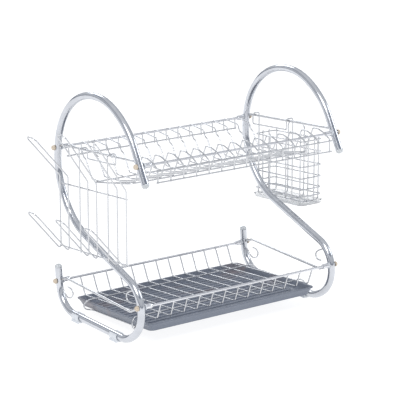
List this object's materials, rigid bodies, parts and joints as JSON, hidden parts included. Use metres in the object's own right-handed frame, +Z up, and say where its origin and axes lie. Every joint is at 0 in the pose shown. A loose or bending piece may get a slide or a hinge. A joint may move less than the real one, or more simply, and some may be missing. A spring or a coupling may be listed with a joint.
{
  "type": "dish drying rack",
  "caption": "Two-tier chromed wire dish drying rack on S-shaped tube frames, with a slide-out drip tray, a hook-on mug rack and a hook-on utensil basket.",
  "frame": {"origin": "the middle of the rack's footprint box, on the surface that it stands on", "axes": "+X to the right along the baskets, +Y to the back, +Z up"},
  "size_m": [0.5131, 0.2677, 0.3888],
  "materials": {
    "chromed_steel": "bright chrome plate",
    "slate_plastic": "satin moulded",
    "white_plastic": "smooth moulded",
    "cream_plastic": "smooth moulded",
    "milky_plastic": "milky, slightly see-through"
  },
  "bodies": {
    "stand": {"left_side_frame": "chromed_steel", "left_rear_end_plug": "milky_plastic", "left_rear_foot": "white_plastic", "left_front_end_plug": "milky_plastic", "left_front_foot": "white_plastic", "left_lower_rear_screw": "chromed_steel", "left_lower_rear_screw_cap": "cream_plastic", "left_lower_rear_washer": "white_plastic", "left_lower_front_screw": "chromed_steel", "left_lower_front_screw_cap": "cream_plastic", "left_lower_front_washer": "white_plastic", "left_upper_rear_screw": "chromed_steel", "left_upper_rear_screw_cap": "cream_plastic", "left_upper_rear_washer": "white_plastic", "left_upper_front_screw": "chromed_steel", "left_upper_front_screw_cap": "cream_plastic", "left_upper_front_washer": "white_plastic", "right_side_frame": "chromed_steel", "right_rear_end_plug": "milky_plastic", "right_rear_foot": "white_plastic", "right_front_end_plug": "milky_plastic", "right_front_foot": "white_plastic", "right_lower_rear_screw": "chromed_steel", "right_lower_rear_screw_cap": "cream_plastic", "right_lower_rear_washer": "white_plastic", "right_lower_front_screw": "chromed_steel", "right_lower_front_screw_cap": "cream_plastic", "right_lower_front_washer": "white_plastic", "right_upper_rear_screw": "chromed_steel", "right_upper_rear_screw_cap": "cream_plastic", "right_upper_rear_washer": "white_plastic", "right_upper_front_screw": "chromed_steel", "right_upper_front_screw_cap": "cream_plastic", "right_upper_front_washer": "white_plastic", "lower_basket": "chromed_steel", "upper_basket": "chromed_steel"},
    "drip_tray": {"drip_tray": "slate_plastic"},
    "mug_rack": {"mug_rack": "chromed_steel"},
    "utensil_basket": {"utensil_basket": "chromed_steel"},
    "utensil_tray": {"utensil_tray": "milky_plastic"}
  },
  "joints": [
    {"name": "drip_tray_slide", "type": "slide", "parent": "stand", "child": "drip_tray", "axis": [0, -0.9984, 0.0557], "range_m": [0, 0.23]},
    {"name": "mug_rack_lift", "type": "slide", "parent": "stand", "child": "mug_rack", "axis": [0, 0, 1], "range_m": [0, 0.025]},
    {"name": "utensil_basket_lift", "type": "slide", "parent": "stand", "child": "utensil_basket", "axis": [0, 0, 1], "range_m": [0, 0.025]},
    {"name": "utensil_tray_pull", "type": "slide", "parent": "utensil_basket", "child": "utensil_tray", "axis": [0, 0, -1], "range_m": [0, 0.03]}
  ]
}
